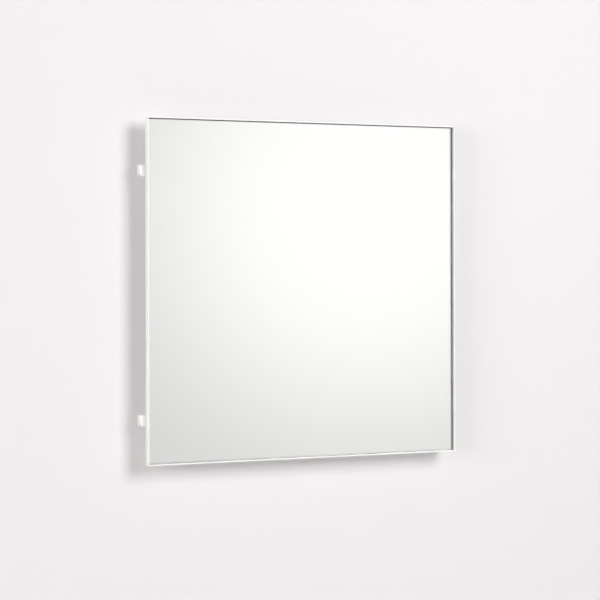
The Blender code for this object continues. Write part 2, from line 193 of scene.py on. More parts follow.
class MirrorFinishes(bpy.types.PropertyGroup):
    """Colours of the mirror and of its stage."""

    coat: colour("Coat", "White powder coat", "#F7F7F5")
    glass: colour("Glass", "Clear float glass", "#FDFDFD")
    ground: colour("Ground edge", "Ground edge of the pane", "#747977")
    silver: colour("Silver", "Silvering behind the glass", "#FAFAF8")
    silver_edge: colour("Silver edge", "Silvering at the pane's rim", "#E9EAE9")
    film: colour("Film", "Safety film on the pane's back", "#C6CACB")
    thread: colour("Thread", "Scrim threads in the safety film", "#D0D3D4")
    foam: colour("Foam", "Foam tape", "#E6E4DE")
    aluminium: colour("Aluminium", "Plain aluminium of the rivets", "#DEDFE0")
    wall: colour("Wall", "Painted wall behind the mirror", "#E9E6E7")
    floor: colour("Floor", "Pale floor", "#F0EEEC")


class MirrorStage(bpy.types.PropertyGroup):
    """Camera, light and surroundings."""

    camera_place: FloatVectorProperty(
        name="Camera place", description="Where the camera stands",
        default=(-1.3231, -2.9233, 0.0418), subtype="TRANSLATION", unit="LENGTH",
    )
    camera_turn: FloatVectorProperty(
        name="Camera turn", description="Tilt, roll and turn of the camera",
        default=tuple(map(math.radians, (90, 0.12, -24.267))), subtype="EULER", unit="ROTATION",
    )
    lens: FloatProperty(
        name="Lens", description="Focal length in millimetres on a 36 mm sensor",
        default=111.257, min=1, unit="CAMERA",
    )
    camera_shift: FloatProperty(
        name="Camera shift", description="Upward shift of the level camera's frame, as a share of its side",
        default=-0.0572,
    )
    wall_gap: length("Wall gap", "Distance from the hooks' plane to the wall", 33)
    floor_drop: length("Floor drop", "Distance from the mirror's centre down to the floor", 1500)
    key: level("Key light", "Tall soft light at the upper right", 0.56)
    fill: level("Fill light", "Broad soft light at the left", 0.16)
    rear: level("Rear light", "Soft light on the mirror's back", 0.35)
    room: level("Room light", "Even light from all round", 0.32)


def select(*pieces):
    """Select these pieces alone, and make the first one active."""
    bpy.ops.object.select_all(action="DESELECT")
    for piece in pieces:
        piece.select_set(True)
    bpy.context.view_layer.objects.active = pieces[0]


def settle(name):
    """Name the active object, and put its place, turn and size into its mesh."""
    bpy.ops.object.transform_apply(location=True, rotation=True, scale=True)
    piece = bpy.context.object
    piece.name = piece.data.name = name
    return piece


def add_box(name, low, high):
    """Add a cube between two corners."""
    low, high = Vector(low), Vector(high)
    bpy.ops.object.select_all(action="DESELECT")
    bpy.ops.mesh.primitive_cube_add(size=1, location=(low + high) / 2, scale=high - low)
    return settle(name)


@contextlib.contextmanager
def editing(piece):
    """Keep a piece in edit mode, all selected at first."""
    select(piece)
    bpy.ops.object.mode_set(mode="EDIT")
    bpy.ops.mesh.select_all(action="SELECT")
    yield
    bpy.ops.object.mode_set(mode="OBJECT")


def pick(kind, test):
    """In edit mode, select the verts, edges or faces that pass a test, and nothing else."""
    bpy.ops.mesh.select_mode(type=kind[:-1].upper())
    bpy.ops.mesh.select_all(action="DESELECT")
    mesh = bpy.context.edit_object.data
    shape = bmesh.from_edit_mesh(mesh)
    found = [part for part in getattr(shape, kind) if test(part)]
    if not found:
        raise RuntimeError(f"{mesh.name} has no {kind} at the place that was asked for")
    for part in found:
        part.select_set(True)
    shape.select_flush_mode()
    bmesh.update_edit_mesh(mesh)


def middle(edge):
    """The middle of an edge."""
    return (edge.verts[0].co + edge.verts[1].co) / 2


def runs(edge, axis):
    """True if an edge runs along X, Y or Z, given as 0, 1 or 2."""
    span = edge.verts[1].co - edge.verts[0].co
    return abs(span[axis]) > PARALLEL * span.length


def same(a, b):
    """True if two places are one."""
    return abs(a - b) < SAME


def runs_at(edge, axis, first, second):
    """True if an edge runs along an axis, at these places on the other two."""
    others = [part for index, part in enumerate(middle(edge)) if index != axis]
    return runs(edge, axis) and same(others[0], first) and same(others[1], second)


def extrude(move):
    """Extrude what is selected by a move."""
    bpy.ops.mesh.extrude_region_move(TRANSFORM_OT_translate={"value": move})


def bevel(width, segments):
    """Bevel the selected edges."""
    bpy.ops.mesh.bevel(offset=width, offset_type="OFFSET", segments=segments, affect="EDGES")


def bisect(point, normal, **settings):
    """In edit mode, cut the whole piece through with a plane."""
    bpy.ops.mesh.select_all(action="SELECT")
    bpy.ops.mesh.bisect(plane_co=point, plane_no=Vector(normal).normalized(), threshold=SAME, **settings)


def cut_off(point, normal):
    """In edit mode, cut off what lies beyond a plane, and close the cut."""
    bisect(point, normal, use_fill=True, clear_outer=True)


def subtract(piece, cutter):
    """Cut a cutter out of a piece, and remove the cutter."""
    boolean = piece.modifiers.new("cut", "BOOLEAN")
    boolean.operation = "DIFFERENCE"
    boolean.solver = "EXACT"
    boolean.object = cutter
    select(piece)
    bpy.ops.object.modifier_apply(modifier=boolean.name)
    bpy.data.meshes.remove(cutter.data)


def drill(piece, places, radius):
    """Drill holes along Y at (x, z) places."""
    low, high = (Vector(corner) for corner in (piece.bound_box[0], piece.bound_box[6]))
    drills = []
    for x, z in places:
        bpy.ops.object.select_all(action="DESELECT")
        bpy.ops.mesh.primitive_cylinder_add(
            vertices=RIVET_SIDES,
            radius=radius,
            depth=high.y - low.y + 2 * PAST,
            location=(x, (low.y + high.y) / 2, z),
            rotation=(math.pi / 2, 0, 0),
        )
        drills.append(settle("drill"))
    select(*drills)
    if len(drills) > 1:
        bpy.ops.object.join()
    subtract(piece, bpy.context.object)


def copy_of(piece, name, quarters=0, move=(0, 0, 0), mirrored=False):
    """Copy a piece with its own mesh: turned about +Y, moved, or mirrored left to right."""
    select(piece)
    bpy.ops.object.duplicate(linked=False)
    twin = bpy.context.object
    twin.rotation_euler.y = quarters * math.pi / 2
    twin.location = move
    if mirrored:
        twin.scale.x = -1
    settle(name)
    if mirrored:
        with editing(twin):
            bpy.ops.mesh.normals_make_consistent(inside=False)
    return twin


def turned(piece, turns):
    """Copy a piece round the frame, name each one for its place, and return them by place."""
    pieces = {}
    for place, quarters in turns.items():
        pieces[place] = copy_of(piece, f"{piece.name}_{place}", quarters)
    bpy.data.meshes.remove(piece.data)
    return pieces


def smooth(piece):
    """Shade round edges smooth, with even shading on the flats beside them."""
    select(piece)
    bpy.ops.object.shade_smooth_by_angle(angle=CREASE)
    even = piece.modifiers.new("even shading", "WEIGHTED_NORMAL")
    even.keep_sharp = True
    bpy.ops.object.modifier_apply(modifier=even.name)


def stand_for(piece, node, slot, *materials):
    """Give a piece its finishes, and let it stand for a CAD node."""
    for material in materials:
        piece.data.materials.append(material)
    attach(piece, BODY)
    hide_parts(node)


def centre_of(node):
    """The (x, z) centre of a CAD node."""
    low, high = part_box(node)
    return (low.x + high.x) / 2, (low.z + high.z) / 2


def nodes_named(start):
    """The CAD nodes whose names start with some text."""
    return sorted(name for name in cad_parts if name.startswith(start))


def rivet_places(start):
    """The (x, z) centres of the CAD rivets whose names start with some text."""
    return [centre_of(node) for node in nodes_named(start)]


def set_inputs(tree, node, inputs):
    """Set a node's inputs, or link those that are given as an output of another node."""
    for name, value in inputs.items():
        if isinstance(value, bpy.types.NodeSocket):
            tree.links.new(value, node.inputs[name])
        else:
            node.inputs[name].default_value = value


def add_node(tree, kind, settings=None, inputs=None):
    """Add a node, set its properties, and set or link its inputs."""
    node = tree.nodes.new(kind)
    for name, value in (settings or {}).items():
        setattr(node, name, value)
    set_inputs(tree, node, inputs or {})
    return node


def rgba(tone, share=1):
    """A colour for a socket, darkened or lightened by a share."""
    return (*(Vector(tone) * share), 1)


def new_material(name):
    """Make a material, and return it with its tree, shader and Object coordinates."""
    material = bpy.data.materials.new(name)
    material.use_nodes = True
    tree = material.node_tree
    shader = tree.nodes["Principled BSDF"]
    place = add_node(tree, "ShaderNodeTexCoord").outputs["Object"]
    return material, tree, shader, place


def powder_coat(finishes):
    """Powder sprayed on steel and baked: a satin white skin with fine orange peel and a faint mottle."""
    name = "White powder coat"
    if name in bpy.data.materials:
        return bpy.data.materials[name]
    material, tree, shader, place = new_material(name)
    # Orange peel has waves of about 1.2 mm, and the film's mottle is about 20 mm across.
    peel = add_node(
        tree, "ShaderNodeTexNoise", inputs={"Vector": place, "Scale": 1 / (1.2 * MM), "Detail": 2}
    ).outputs["Fac"]
    mottle = add_node(
        tree, "ShaderNodeTexNoise", inputs={"Vector": place, "Scale": 1 / (20 * MM), "Detail": 3}
    ).outputs["Fac"]
    base = add_node(
        tree, "ShaderNodeMix", {"data_type": "RGBA"},
        {FACTOR: mottle, COLOUR_A: rgba(finishes.coat, 0.975), COLOUR_B: rgba(finishes.coat)},
    )
    gloss = add_node(
        tree, "ShaderNodeMapRange",
        inputs={"Value": peel, "From Min": NOISE_LOW, "From Max": NOISE_HIGH, "To Min": 0.36, "To Max": 0.48},
    )
    bump = add_node(tree, "ShaderNodeBump", inputs={"Height": peel, "Strength": 1, "Distance": 0.02 * MM})
    set_inputs(tree, shader, {
        "Base Color": base.outputs[COLOUR_OUT],
        "Roughness": gloss.outputs["Result"],
        "Normal": bump.outputs["Normal"],
    })
    return material


def float_glass(finishes):
    """Clear glass floated on tin: flat and bright, with the slow waves that bend a reflection a little."""
    material, tree, shader, place = new_material("Clear float glass")
    wave = add_node(
        tree, "ShaderNodeTexNoise", inputs={"Vector": place, "Scale": 1 / (90 * MM), "Detail": 1}
    ).outputs["Fac"]
    bump = add_node(tree, "ShaderNodeBump", inputs={"Height": wave, "Strength": 1, "Distance": 0.02 * MM})
    set_inputs(tree, shader, {
        "Base Color": rgba(finishes.glass),
        "Roughness": 0,
        "IOR": GLASS_IOR,
        "Transmission Weight": 1,
        "Normal": bump.outputs["Normal"],
    })
    return material


def ground_glass(finishes):
    """Edge of the pane, cut and seamed on a belt: a dull grey-green band with fine grit marks."""
    material, tree, shader, place = new_material("Ground glass edge")
    grit = add_node(
        tree, "ShaderNodeTexNoise", inputs={"Vector": place, "Scale": 1 / (0.5 * MM), "Detail": 3}
    ).outputs["Fac"]
    base = add_node(
        tree, "ShaderNodeMix", {"data_type": "RGBA"},
        {FACTOR: grit, COLOUR_A: rgba(finishes.ground, 0.7), COLOUR_B: rgba(finishes.ground, 1.2)},
    )
    bump = add_node(tree, "ShaderNodeBump", inputs={"Height": grit, "Strength": 1, "Distance": 0.03 * MM})
    set_inputs(tree, shader, {
        "Base Color": base.outputs[COLOUR_OUT],
        "Roughness": 0.5,
        "IOR": GLASS_IOR,
        "Normal": bump.outputs["Normal"],
    })
    return material


def silvering(finishes, half, rim_width):
    """Silver laid chemically on the glass's back: a clean mirror, a little greyer along its rim."""
    material, tree, shader, place = new_material("Silver coating")
    split = add_node(tree, "ShaderNodeSeparateXYZ", inputs={"Vector": place})
    across = add_node(tree, "ShaderNodeMath", {"operation": "ABSOLUTE"}, {0: split.outputs["X"]})
    vertical = add_node(tree, "ShaderNodeMath", {"operation": "ABSOLUTE"}, {0: split.outputs["Z"]})
    reach = add_node(
        tree, "ShaderNodeMath", {"operation": "MAXIMUM"}, {0: across.outputs[0], 1: vertical.outputs[0]}
    )
    rim = add_node(
        tree, "ShaderNodeMapRange", {"interpolation_type": "SMOOTHSTEP"},
        {"Value": reach.outputs[0], "From Min": half - rim_width, "From Max": half, "To Min": 0, "To Max": 1},
    )
    base = add_node(
        tree, "ShaderNodeMix", {"data_type": "RGBA"},
        {
            FACTOR: rim.outputs["Result"],
            COLOUR_A: rgba(finishes.silver),
            COLOUR_B: rgba(finishes.silver_edge),
        },
    )
    set_inputs(tree, shader, {"Base Color": base.outputs[COLOUR_OUT], "Metallic": 1, "Roughness": 0})
    return material


def safety_film(finishes):
    """Polyethylene film rolled on to the mirror's back: matt light grey over a scrim of crossed threads."""
    material, tree, shader, place = new_material("Polyethylene safety film")
    # The scrim has threads 0.9 mm wide, 7 mm apart, because finer ones don't show in the render.
    flat = add_node(tree, "ShaderNodeMapping", inputs={"Vector": place, "Rotation": (-math.pi / 2, 0, 0)})
    scrim = add_node(
        tree, "ShaderNodeTexBrick", {"offset": 0, "squash": 1},
        {
            "Vector": flat.outputs["Vector"], "Scale": 1, "Brick Width": 7 * MM, "Row Height": 7 * MM,
            "Mortar Size": 0.45 * MM, "Mortar Smooth": 1,
        },
    ).outputs["Fac"]
    # Uneven glue shows as clouds about 60 mm across, and the film's own grain is about 0.8 mm.
    cloud = add_node(
        tree, "ShaderNodeTexNoise", inputs={"Vector": place, "Scale": 1 / (60 * MM), "Detail": 4}
    ).outputs["Fac"]
    grain = add_node(
        tree, "ShaderNodeTexNoise", inputs={"Vector": place, "Scale": 1 / (0.8 * MM), "Detail": 2}
    ).outputs["Fac"]
    ground = add_node(
        tree, "ShaderNodeMix", {"data_type": "RGBA"},
        {FACTOR: cloud, COLOUR_A: rgba(finishes.film, 0.9), COLOUR_B: rgba(finishes.film, 1.06)},
    )
    base = add_node(
        tree, "ShaderNodeMix", {"data_type": "RGBA"},
        {FACTOR: scrim, COLOUR_A: ground.outputs[COLOUR_OUT], COLOUR_B: rgba(finishes.thread)},
    )
    gloss = add_node(
        tree, "ShaderNodeMapRange",
        inputs={"Value": grain, "From Min": NOISE_LOW, "From Max": NOISE_HIGH, "To Min": 0.45, "To Max": 0.6},
    )
    raised = add_node(
        tree, "ShaderNodeBump", inputs={"Height": scrim, "Strength": 1, "Distance": 0.06 * MM}
    ).outputs["Normal"]
    bump = add_node(
        tree, "ShaderNodeBump",
        inputs={"Height": grain, "Strength": 1, "Distance": 0.02 * MM, "Normal": raised},
    )
    set_inputs(tree, shader, {
        "Base Color": base.outputs[COLOUR_OUT],
        "Roughness": gloss.outputs["Result"],
        "Normal": bump.outputs["Normal"],
    })
    return material


def foam_tape(finishes):
    """Closed-cell polyethylene foam, slit to width: dull off-white with open cells along its cut sides, each
    cell painted darker towards its middle as the shade in its hollow.
    """
    material, tree, shader, place = new_material("Polyethylene foam")
    # Cells are about 0.6 mm across.
    cells = add_node(
        tree, "ShaderNodeTexVoronoi", inputs={"Vector": place, "Scale": 1 / (0.6 * MM)}
    ).outputs["Distance"]
    # Painted shade: each cell is darker towards its middle, where its hollow would lie in shade.
    painted_cell_shade = add_node(
        tree, "ShaderNodeMapRange",
        inputs={"Value": cells, "From Min": 0, "From Max": 0.8, "To Min": 0, "To Max": 1},
    )
    base = add_node(
        tree, "ShaderNodeMix", {"data_type": "RGBA"},
        {
            FACTOR: painted_cell_shade.outputs["Result"],
            COLOUR_A: rgba(finishes.foam, 0.82),
            COLOUR_B: rgba(finishes.foam),
        },
    )
    bump = add_node(tree, "ShaderNodeBump", inputs={"Height": cells, "Strength": 1, "Distance": 0.1 * MM})
    set_inputs(tree, shader, {
        "Base Color": base.outputs[COLOUR_OUT],
        "Roughness": 0.9,
        "Normal": bump.outputs["Normal"],
    })
    return material


def plain_aluminium(finishes):
    """Aluminium wire headed in a die and tumbled: soft grey metal with small dents and rubbed patches."""
    name = "Plain aluminium"
    if name in bpy.data.materials:
        return bpy.data.materials[name]
    material, tree, shader, place = new_material(name)
    # Rubbed patches are about 1.5 mm across, and dents about 0.7 mm.
    rub = add_node(
        tree, "ShaderNodeTexNoise", inputs={"Vector": place, "Scale": 1 / (1.5 * MM), "Detail": 4}
    ).outputs["Fac"]
    dents = add_node(
        tree, "ShaderNodeTexVoronoi", inputs={"Vector": place, "Scale": 1 / (0.7 * MM)}
    ).outputs["Distance"]
    base = add_node(
        tree, "ShaderNodeMix", {"data_type": "RGBA"},
        {FACTOR: rub, COLOUR_A: rgba(finishes.aluminium, 0.85), COLOUR_B: rgba(finishes.aluminium)},
    )
    gloss = add_node(
        tree, "ShaderNodeMapRange",
        inputs={"Value": rub, "From Min": NOISE_LOW, "From Max": NOISE_HIGH, "To Min": 0.2, "To Max": 0.36},
    )
    bump = add_node(tree, "ShaderNodeBump", inputs={"Height": dents, "Strength": 1, "Distance": 0.02 * MM})
    set_inputs(tree, shader, {
        "Base Color": base.outputs[COLOUR_OUT],
        "Metallic": 1,
        "Roughness": gloss.outputs["Result"],
        "Normal": bump.outputs["Normal"],
    })
    return material


def model_rail(name, sizes):
    """Model the top rail: a wall, a flange folded in behind it, rounded edges and mitred ends."""
    low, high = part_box("frame_rail_top")
    inside = high.z - sizes.rail_wall
    flange_front = high.y - sizes.flange
    rail = add_box(name, (low.x, low.y, inside), high)
    with editing(rail):
        bisect((0, flange_front, 0), (0, 1, 0))
        pick("faces", lambda face: face.normal.z < -FACING and face.calc_center_median().y > flange_front)
        extrude((0, 0, low.z - inside))
        bpy.ops.mesh.select_all(action="SELECT")
        bpy.ops.mesh.dissolve_limited(angle_limit=FLAT)
        rounded = (
            (low.y, high.z, sizes.lip_radius),
            (low.y, inside, sizes.lip_radius),
            (high.y, high.z, sizes.heel_radius),
            (high.y, low.z, sizes.edge_radius),
            (flange_front, low.z, sizes.edge_radius),
            (flange_front, inside, sizes.edge_radius),
        )
        for y, z, radius in rounded:
            pick("edges", lambda edge: runs_at(edge, 0, y, z))
            bevel(radius, ROUND_STEPS)
        for end in (-1, 1):
            normal = Vector((end, 0, -1)).normalized()
            cut_off(Vector((end * high.x, 0, high.z)) - normal * sizes.mitre_gap / 2, normal)
        pick("edges", lambda edge: any(abs(face.normal.x) > SLANTED for face in edge.link_faces))
        bevel(sizes.soft_edge / 2, TINY_STEPS)
        bpy.ops.mesh.select_all(action="SELECT")
        bpy.ops.mesh.normals_make_consistent(inside=False)
    return rail


def rail_under(x, z):
    """The side of the frame that carries the rivet at (x, z)."""
    if abs(z) > abs(x):
        return "top" if z > 0 else "bottom"
    return "right" if x > 0 else "left"


class WALLMIRROR_OT_frame_rails(bpy.types.Operator):
    """Model the four mitred rails of the frame"""

    bl_idname = "wall_mirror.frame_rails"
    bl_label = "Frame Rails"

    def execute(self, context):
        sizes = context.scene.mirror_sizes
        coat = powder_coat(context.scene.mirror_finishes)
        places = rivet_places("gusset_rivet") + rivet_places("bracket_rivet")
        for side, rail in turned(model_rail("coated_rail", sizes), RAIL_TURNS).items():
            drill(rail, [place for place in places if rail_under(*place) == side], sizes.hole_radius)
            smooth(rail)
            stand_for(rail, f"frame_rail_{side}", "white_powder_coat", coat)
        return {"FINISHED"}


class WALLMIRROR_OT_mirror_pane(bpy.types.Operator):
    """Model the silvered pane with its ground edges"""

    bl_idname = "wall_mirror.mirror_pane"
    bl_label = "Mirror Pane"

    def execute(self, context):
        sizes = context.scene.mirror_sizes
        finishes = context.scene.mirror_finishes
        low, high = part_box("mirror_glass")
        drop = Vector((0, 0, sizes.pane_drop))
        pane = add_box("silvered_pane", low - drop, high - drop)
        silver = silvering(finishes, high.x, sizes.silver_rim)
        pane_finishes = (float_glass(finishes), ground_glass(finishes), silver)
        stand_for(pane, "mirror_glass", "silvered_glass", *pane_finishes)
        with editing(pane):
            bevel(sizes.glass_arris, 1)
            for index, test in enumerate((
                lambda face: face.normal.y < -FACING,
                lambda face: abs(face.normal.y) < FACING,
                lambda face: face.normal.y > FACING,
            )):
                pick("faces", test)
                pane.active_material_index = index
                bpy.ops.object.material_slot_assign()
        return {"FINISHED"}


class WALLMIRROR_OT_safety_film(bpy.types.Operator):
    """Model the film on the pane's back"""

    bl_idname = "wall_mirror.safety_film"
    bl_label = "Safety Film"

    def execute(self, context):
        sizes = context.scene.mirror_sizes
        low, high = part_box("safety_film")
        film = add_box("backing_film", low, high)
        with editing(film):
            pick("edges", lambda edge: runs(edge, 1))
            bevel(sizes.film_corner, ROUND_STEPS)
            pick("faces", lambda face: face.normal.y > FACING)
            bpy.ops.mesh.inset(thickness=sizes.film_rim, depth=0)
            pick("edges", lambda edge: not runs(edge, 1) and any(
                abs(face.normal.y) < SLANTED for face in edge.link_faces
            ))
            bevel(FILM_EDGE * (high.y - low.y), TINY_STEPS)
        smooth(film)
        stand_for(film, "safety_film", "safety_film", safety_film(context.scene.mirror_finishes))
        return {"FINISHED"}


def model_tape(name, node, sizes):
    """Model a strip of foam in a CAD tape's place, with sides that swell between its two faces."""
    low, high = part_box(node)
    swell = Vector((sizes.tape_bulge, 0, sizes.tape_bulge))
    tape = add_box(name, low + swell, high - swell)
    with editing(tape):
        pick("edges", lambda edge: runs(edge, 1))
        bevel(sizes.edge_radius, TINY_STEPS)
        for share in TAPE_CUTS:
            bisect((0, low.y + share * (high.y - low.y), 0), (0, 1, 0))
        pick("verts", lambda vert: low.y + SAME < vert.co.y < high.y - SAME)
        bpy.ops.transform.shrink_fatten(value=sizes.tape_bulge * TAPE_SWELL)
        pick("verts", lambda vert: same(vert.co.y, (low.y + high.y) / 2))
        bpy.ops.transform.shrink_fatten(value=sizes.tape_bulge * TAPE_CROWN)
    smooth(tape)
    return tape


class WALLMIRROR_OT_mounting_tapes(bpy.types.Operator):
    """Model the foam tapes between the flanges and the pane"""

    bl_idname = "wall_mirror.mounting_tapes"
    bl_label = "Mounting Tapes"

    def execute(self, context):
        foam = foam_tape(context.scene.mirror_finishes)
        for side, other in (("top", "bottom"), ("left", "right")):
            node, far_node = f"mounting_tape_{side}", f"mounting_tape_{other}"
            tape = model_tape(f"foam_tape_{side}", node, context.scene.mirror_sizes)
            twin = copy_of(tape, f"foam_tape_{other}", move=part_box(far_node)[0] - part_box(node)[0])
            stand_for(tape, node, "foam_tape", foam)
            stand_for(twin, far_node, "foam_tape", foam)
        return {"FINISHED"}


def model_gusset(name, sizes):
    """Model the top right gusset: a square with two arms, one corner cut and one filleted."""
    low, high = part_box("corner_gusset_top_right")
    block = high.x - sizes.gusset_width, high.z - sizes.gusset_width
    gusset = add_box(name, (block[0], low.y, block[1]), high)
    with editing(gusset):
        pick("faces", lambda face: face.normal.x < -FACING)
        extrude((low.x - block[0], 0, 0))
        pick("faces", lambda face: face.normal.z < -FACING and face.calc_center_median().x > block[0])
        extrude((0, 0, low.z - block[1]))
        bpy.ops.mesh.select_all(action="SELECT")
        bpy.ops.mesh.dissolve_limited(angle_limit=FLAT)
        corners = (
            (high.x, high.z, sizes.gusset_cut, 1),
            (*block, sizes.gusset_fillet, 2 * ROUND_STEPS),
            (low.x, high.z, sizes.edge_radius, SMALL_STEPS),
            (low.x, block[1], sizes.edge_radius, SMALL_STEPS),
            (high.x, low.z, sizes.edge_radius, SMALL_STEPS),
            (block[0], low.z, sizes.edge_radius, SMALL_STEPS),
        )
        for x, z, width, segments in corners:
            pick("edges", lambda edge: runs_at(edge, 1, x, z))
            bevel(width, segments)
        pick("edges", lambda edge: any(abs(face.normal.y) > FACING for face in edge.link_faces))
        bevel(sizes.soft_edge, SMALL_STEPS)
    return gusset


class WALLMIRROR_OT_corner_gussets(bpy.types.Operator):
    """Model the L-shaped gussets behind the frame's corners"""

    bl_idname = "wall_mirror.corner_gussets"
    bl_label = "Corner Gussets"

    def execute(self, context):
        sizes = context.scene.mirror_sizes
        coat = powder_coat(context.scene.mirror_finishes)
        first = model_gusset("coated_gusset", sizes)
        drill(first, rivet_places("gusset_rivet_top_right"), sizes.hole_radius)
        for corner, gusset in turned(first, CORNER_TURNS).items():
            smooth(gusset)
            stand_for(gusset, f"corner_gusset_{corner}", "white_powder_coat", coat)
        return {"FINISHED"}


def model_rivet(name, node, sizes):
    """Model a pulled blind rivet in a CAD rivet's place, with its head towards the wall."""
    low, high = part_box(node)
    x, z = centre_of(node)
    head_radius = (high.x - low.x) / 2
    seat = high.y - sizes.head_height
    bpy.ops.object.select_all(action="DESELECT")
    bpy.ops.mesh.primitive_cylinder_add(
        vertices=RIVET_SIDES,
        radius=head_radius,
        depth=sizes.rim_height,
        location=(x, seat + sizes.rim_height / 2, z),
        rotation=(math.pi / 2, 0, 0),
    )
    rivet = settle(name)
    dome = sizes.head_height - sizes.rim_height
    bore = sizes.mandrel_radius
    with editing(rivet):
        pick("faces", lambda face: face.normal.y > FACING)
        radius, height = head_radius, 0
        for step in range(1, ROUND_STEPS + 1):
            angle = math.pi / 2 * step / ROUND_STEPS
            next_radius = bore + (head_radius - bore) * math.cos(angle)
            next_height = dome * math.sin(angle)
            bpy.ops.mesh.inset(thickness=radius - next_radius, depth=next_height - height)
            radius, height = next_radius, next_height
        # The mandrel snaps off inside its hole and leaves a small rough stub.
        extrude((0, -sizes.mandrel_depth, 0))
        bpy.ops.mesh.inset(thickness=bore * STUB_GROOVE, depth=0)
        bpy.ops.mesh.inset(thickness=bore * STUB_SLOPE, depth=sizes.mandrel_depth * STUB_HEIGHT)
        bpy.ops.mesh.inset(thickness=bore * STUB_DIMPLE, depth=-sizes.mandrel_depth * DIMPLE_DEPTH)
        pick("faces", lambda face: face.normal.y < -FACING)
        bpy.ops.mesh.inset(thickness=head_radius - sizes.shank_radius, depth=0)
        extrude((0, low.y + sizes.tail_height - seat, 0))
        bpy.ops.mesh.extrude_region_move()
        grow = sizes.tail_radius / sizes.shank_radius
        place = (x, low.y + sizes.tail_height, z)
        bpy.ops.transform.resize(value=(grow, 1, grow), center_override=place)
        extrude((0, -sizes.tail_height / 2, 0))
        extrude((0, -sizes.tail_height / 2, 0))
        bpy.ops.transform.resize(value=(1 / grow, 1, 1 / grow), center_override=place)
        bpy.ops.mesh.select_all(action="SELECT")
        bpy.ops.mesh.normals_make_consistent(inside=False)
    smooth(rivet)
    return rivet


def set_rivets(context, start):
    """Model the first of a group of CAD rivets, and copy it to the others' places."""
    metal = plain_aluminium(context.scene.mirror_finishes)
    nodes = nodes_named(start)
    first = model_rivet(f"aluminium_{nodes[0]}", nodes[0], context.scene.mirror_sizes)
    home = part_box(nodes[0])[0]
    rivets = [first]
    for node in nodes[1:]:
        rivets.append(copy_of(first, f"aluminium_{node}", move=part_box(node)[0] - home))
    for rivet, node in zip(rivets, nodes):
        stand_for(rivet, node, "bare_aluminium", metal)


class WALLMIRROR_OT_gusset_rivets(bpy.types.Operator):
    """Model the rivets that hold the gussets"""

    bl_idname = "wall_mirror.gusset_rivets"
    bl_label = "Gusset Rivets"

    def execute(self, context):
        set_rivets(context, "gusset_rivet")
        return {"FINISHED"}


class WALLMIRROR_OT_bracket_rivets(bpy.types.Operator):
    """Model the rivets that hold the hook brackets"""

    bl_idname = "wall_mirror.bracket_rivets"
    bl_label = "Bracket Rivets"

    def execute(self, context):
        set_rivets(context, "bracket_rivet")
        return {"FINISHED"}


def model_bracket(name, sizes):
    """Model the upper right bracket: a strip bent back into a leg, which is notched into a hook."""
    low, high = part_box("hook_bracket_upper_right")
    seat = high.z - sizes.throat
    outer_radius = sizes.bend_radius + sizes.strip
    bend = Vector((high.x - outer_radius, low.y + outer_radius, 0))
    bracket = add_box(name, low, (bend.x, low.y + sizes.strip, high.z))
    with editing(bracket):
        pick("faces", lambda face: face.normal.x > FACING)
        bpy.ops.mesh.spin(steps=2 * ROUND_STEPS, angle=math.pi / 2, center=bend, axis=(0, 0, -1))
        extrude((0, high.y - bend.y, 0))
        bpy.ops.mesh.select_all(action="SELECT")
        bpy.ops.mesh.remove_doubles(threshold=SAME)
        bpy.ops.mesh.normals_make_consistent(inside=False)
        cut_off((0, high.y, low.z + sizes.tip_cut), (0, 1, -1))

    leg_inside = high.x - sizes.strip
    mouth = low.z - PAST
    notch = add_box("notch", (leg_inside - PAST, 0, mouth), (high.x + PAST, sizes.notch, seat))
    slope_top = low.z + sizes.lead_in_height
    with editing(notch):
        bisect((0, 0, slope_top), (0, 0, 1))
        pick("verts", lambda vert: vert.co.y > 0 and same(vert.co.z, mouth))
        slope = sizes.lead_in_width / sizes.lead_in_height
        bpy.ops.transform.translate(value=(0, slope * (slope_top - mouth), 0))
    subtract(bracket, notch)

    corner = add_box(
        "corner", (bend.x - 2 * PAST, low.y - PAST, mouth), (high.x + PAST, sizes.notch / 2, seat)
    )
    shoulder = seat - sizes.shoulder
    with editing(corner):
        cut_off((high.x, 0, shoulder), (low.z - shoulder, 0, outer_radius))
    subtract(bracket, corner)
    drill(bracket, rivet_places("bracket_rivet_upper_right"), sizes.hole_radius)
    soften = bracket.modifiers.new("soft edges", "BEVEL")
    soften.width = sizes.soft_edge
    soften.segments = SMALL_STEPS
    soften.limit_method = "ANGLE"
    soften.angle_limit = CREASE
    select(bracket)
    bpy.ops.object.modifier_apply(modifier=soften.name)
    # At the shoulder two soft edges run out in one point, where the bevel leaves two.
    with editing(bracket):
        bpy.ops.mesh.remove_doubles(threshold=SAME)
    return bracket


class WALLMIRROR_OT_hook_brackets(bpy.types.Operator):
    """Model the brackets that hook the frame up"""

    bl_idname = "wall_mirror.hook_brackets"
    bl_label = "Hook Brackets"

    def execute(self, context):
        coat = powder_coat(context.scene.mirror_finishes)
        first = model_bracket("coated_hook_upper_right", context.scene.mirror_sizes)
        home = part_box("hook_bracket_upper_right")[0].z
        brackets = [first]
        for row, column in (("upper", "left"), ("lower", "right"), ("lower", "left")):
            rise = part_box(f"hook_bracket_{row}_{column}")[0].z - home
            name = f"coated_hook_{row}_{column}"
            brackets.append(copy_of(first, name, move=(0, 0, rise), mirrored=column == "left"))
        for bracket in brackets:
            smooth(bracket)
            node = bracket.name.replace("coated_hook", "hook_bracket")
            stand_for(bracket, node, "white_powder_coat", coat)
        return {"FINISHED"}


